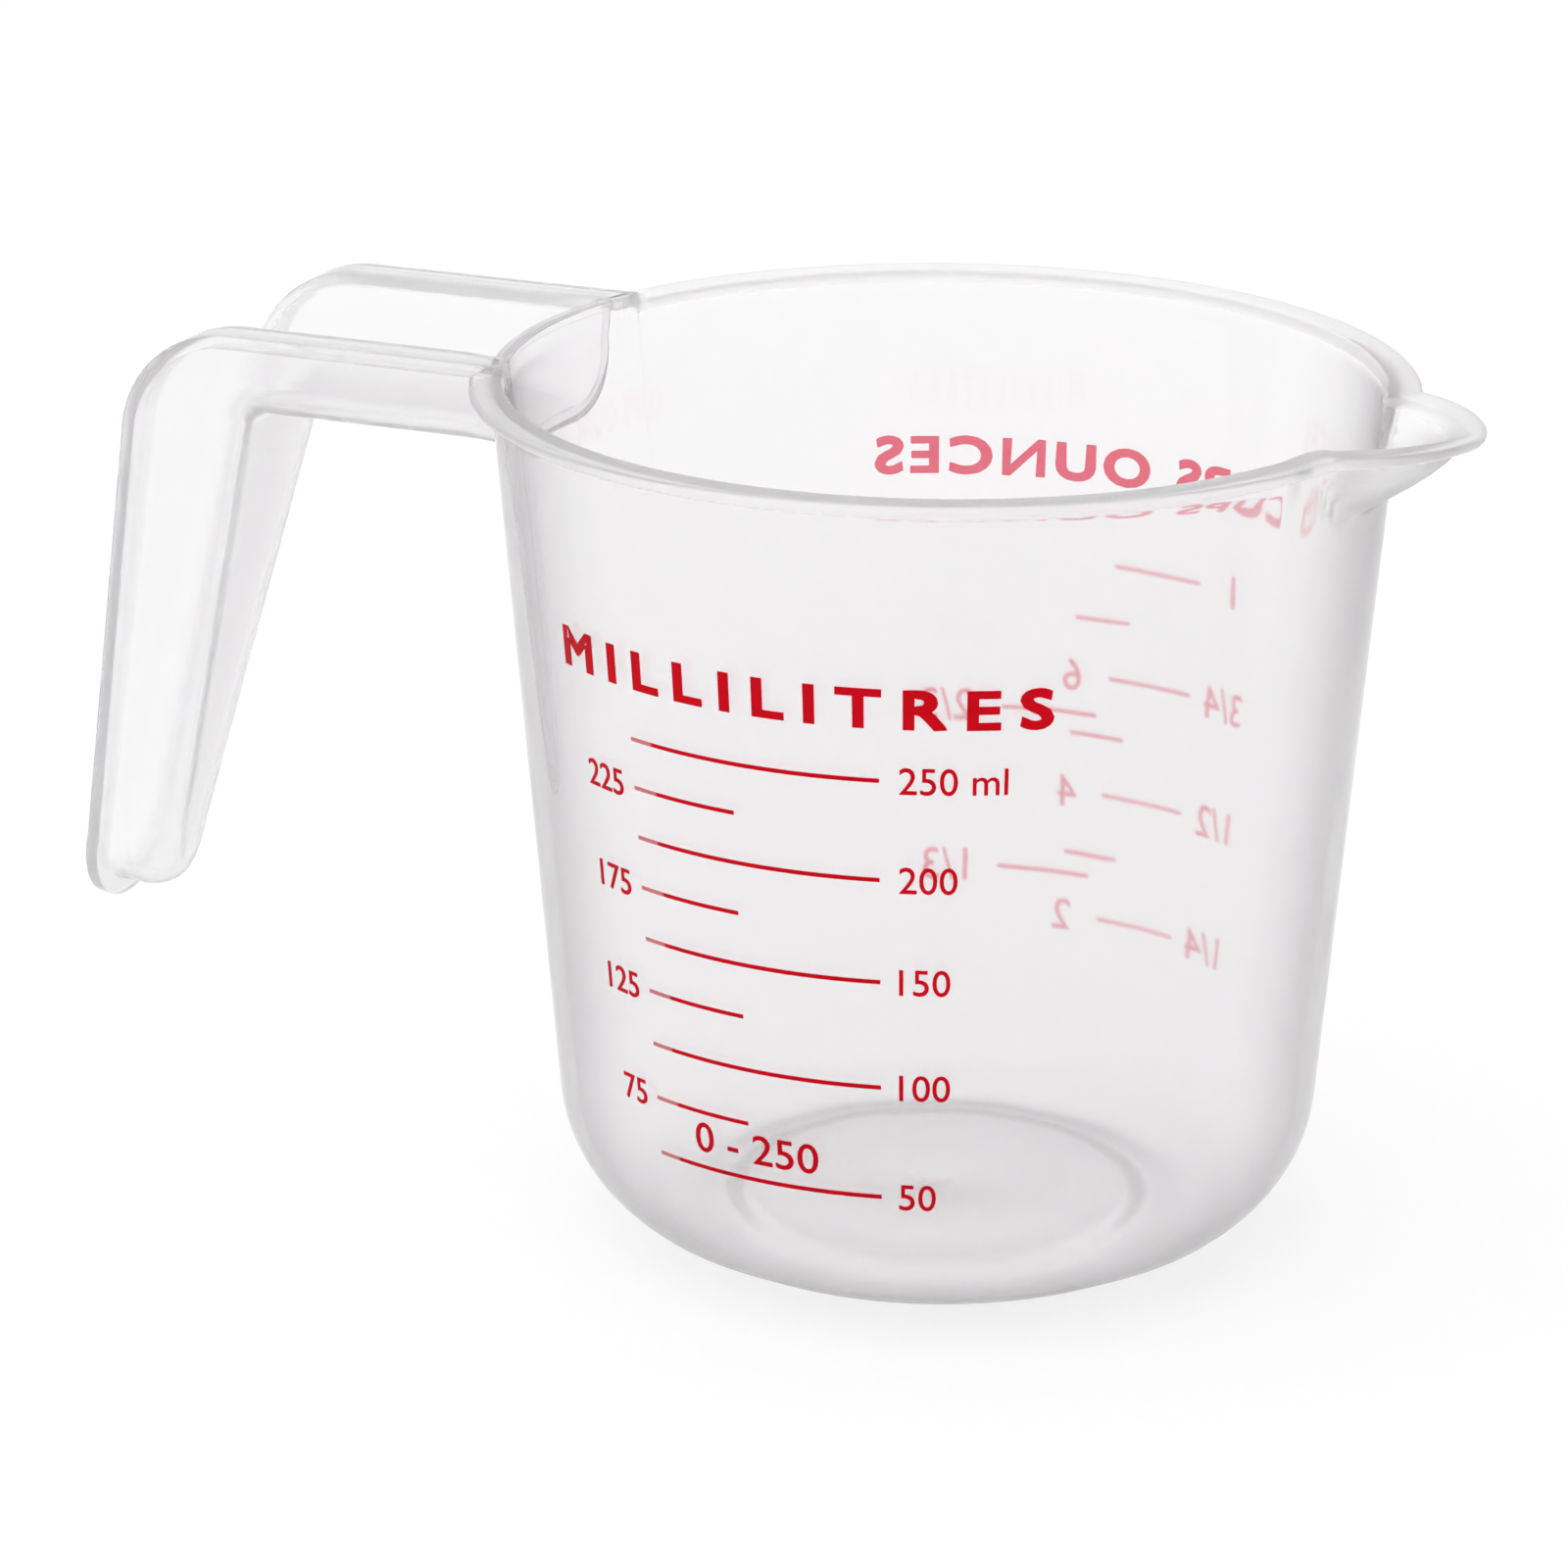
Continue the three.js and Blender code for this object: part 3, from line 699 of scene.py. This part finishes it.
# The back, with quarters of a cup on one side, thirds on the other and ounces between them
QUARTERS = 63.8
THIRDS = 110.7
OUNCES = 91.3
BACK_SIZE = 1.28
BACK_HEADING = 86.9
BACK_HEADING_RISE = 0.6
BACK_HEADING_STRETCH = 6.7
BACK_HEADING_SPACING = 1.2
BACK_NUMERALS = [
    ("3/4", QUARTERS, "mark_three_quarter_cup"),
    ("1/2", QUARTERS, "mark_half_cup"),
    ("1/4", QUARTERS, "mark_quarter_cup"),
    ("2/3", THIRDS, "mark_two_third_cup"),
    ("1/3", THIRDS, "mark_third_cup"),
    ("6", OUNCES, "mark_three_quarter_cup"),
    ("4", OUNCES, "mark_half_cup"),
    ("2", OUNCES, "mark_quarter_cup"),
    ("1", QUARTERS, "mark_one_cup"),
]
back_print = bmesh.new()
for text, degrees, mark in BACK_NUMERALS:
    numeral(back_print, text, degrees, 0.5, mark, BACK_SIZE)
print_label(
    back_print,
    "CUPS OUNCES",
    BACK_HEADING,
    0.5,
    HEADING_LEVEL + BACK_HEADING_RISE,
    HEADING_CAP,
    BACK_HEADING_STRETCH,
    HEADING_WEIGHT,
    BACK_HEADING_SPACING,
)
finish_print(back_print, "back_print", back_ink_painted_backlit)

# Studio. A white paper floor in white surroundings, lit softly from all round. To the camera and
# through the plastic the floor shows white, and it keeps the cup's soft shadow.
FLOOR_SIZE = 6.0
FLOOR_DROP = 0.2
FLOOR_GREY = 0.6
FLOOR_LIFT = 0.43
floor_mesh = bmesh.new()
bmesh.ops.create_grid(floor_mesh, x_segments=1, y_segments=1, size=FLOOR_SIZE)
bmesh.ops.translate(floor_mesh, verts=floor_mesh.verts, vec=(0, 0, -FLOOR_DROP * MM))
floor_data = bpy.data.meshes.new("floor")
floor_mesh.to_mesh(floor_data)
floor_mesh.free()
floor = bpy.data.objects.new("floor", floor_data)
bpy.context.collection.objects.link(floor)
paper = bpy.data.materials.new("white_paper")
paper.use_nodes = True
tree = paper.node_tree
shader = tree.nodes["Principled BSDF"]
shader.inputs["Base Color"].default_value = (FLOOR_GREY, FLOOR_GREY, FLOOR_GREY, 1)
shader.inputs["Roughness"].default_value = 0.9
shader.inputs["Specular IOR Level"].default_value = 0
shader.inputs["Emission Color"].default_value = (1, 1, 1, 1)
rays = tree.nodes.new("ShaderNodeLightPath").outputs
seen_through = combined(tree, "MAXIMUM", rays["Is Glossy Ray"], rays["Is Transmission Ray"])
seen = combined(tree, "MAXIMUM", rays["Is Camera Ray"], seen_through)
lift = ramp(tree, seen, 0, 1, 0, FLOOR_LIFT)
tree.links.new(lift, shader.inputs["Emission Strength"])
floor.data.materials.append(paper)

# The world shows white, and its light on matt surfaces falls off towards the spout's side
LIGHT_SIDE = (-0.75, -0.45, 0.5)
LIGHT_BRIGHT = 1.2
LIGHT_DIM = 0.6
world = bpy.data.worlds.new("studio")
world.use_nodes = True
bpy.context.scene.world = world
tree = world.node_tree
sky = tree.nodes["Background"]
sky.inputs["Color"].default_value = (1, 1, 1, 1)
towards = tree.nodes.new("ShaderNodeTexCoord")
facing = tree.nodes.new("ShaderNodeVectorMath")
facing.operation = "DOT_PRODUCT"
facing.inputs[1].default_value = Vector(LIGHT_SIDE).normalized()
tree.links.new(towards.outputs["Generated"], facing.inputs[0])
falloff = ramp(tree, facing.outputs["Value"], -1, 1, LIGHT_DIM, LIGHT_BRIGHT)
rays = tree.nodes.new("ShaderNodeLightPath").outputs
strength = tree.nodes.new("ShaderNodeMix")
strength.inputs["A"].default_value = 1
tree.links.new(rays["Is Diffuse Ray"], strength.inputs["Factor"])
tree.links.new(falloff, strength.inputs["B"])
tree.links.new(strength.outputs["Result"], sky.inputs["Strength"])

# Camera, at the photograph's height and distance, turned so that the cup sits right of centre.
# Light passes many times through clear plastic, so the paths are long.
CAMERA_AZIMUTH = math.radians(21.6)
CAMERA_ELEVATION = math.radians(18.946)
CAMERA_ROLL = math.radians(0.632)
CAMERA_DISTANCE = 593.1
CAMERA_LENS = 137.26
SENSOR_WIDTH = 36
PICTURE_SIDE = 1600
PAN_PIXELS = 159.42
TILT_PIXELS = 12.83
CLEAR_BOUNCES = 64
MATT_BOUNCES = 8
target = Vector((axis_x, 0, RIM_HEIGHT / 2 * MM))
back = Vector((
    math.sin(CAMERA_AZIMUTH) * math.cos(CAMERA_ELEVATION),
    -math.cos(CAMERA_AZIMUTH) * math.cos(CAMERA_ELEVATION),
    math.sin(CAMERA_ELEVATION),
))
focal_pixels = CAMERA_LENS / SENSOR_WIDTH * PICTURE_SIDE
pan = Quaternion((0, 1, 0), math.atan2(PAN_PIXELS, focal_pixels))
tilt = Quaternion((1, 0, 0), math.atan2(TILT_PIXELS, focal_pixels))
roll = Quaternion((0, 0, 1), CAMERA_ROLL)
camera_data = bpy.data.cameras.new("camera")
camera_data.lens = CAMERA_LENS
camera_data.sensor_width = SENSOR_WIDTH
camera_data.clip_start = 0.01
camera_data.clip_end = 50
camera = bpy.data.objects.new("camera", camera_data)
camera.location = target + back * CAMERA_DISTANCE * MM
camera.rotation_mode = "QUATERNION"
camera.rotation_quaternion = (-back).to_track_quat("-Z", "Y") @ pan @ tilt @ roll
bpy.context.collection.objects.link(camera)
bpy.context.scene.camera = camera
bpy.context.scene.view_settings.view_transform = "Standard"
paths = bpy.context.scene.cycles
paths.blur_glossy = 0
paths.max_bounces = CLEAR_BOUNCES
paths.glossy_bounces = CLEAR_BOUNCES
paths.transmission_bounces = CLEAR_BOUNCES
paths.diffuse_bounces = MATT_BOUNCES
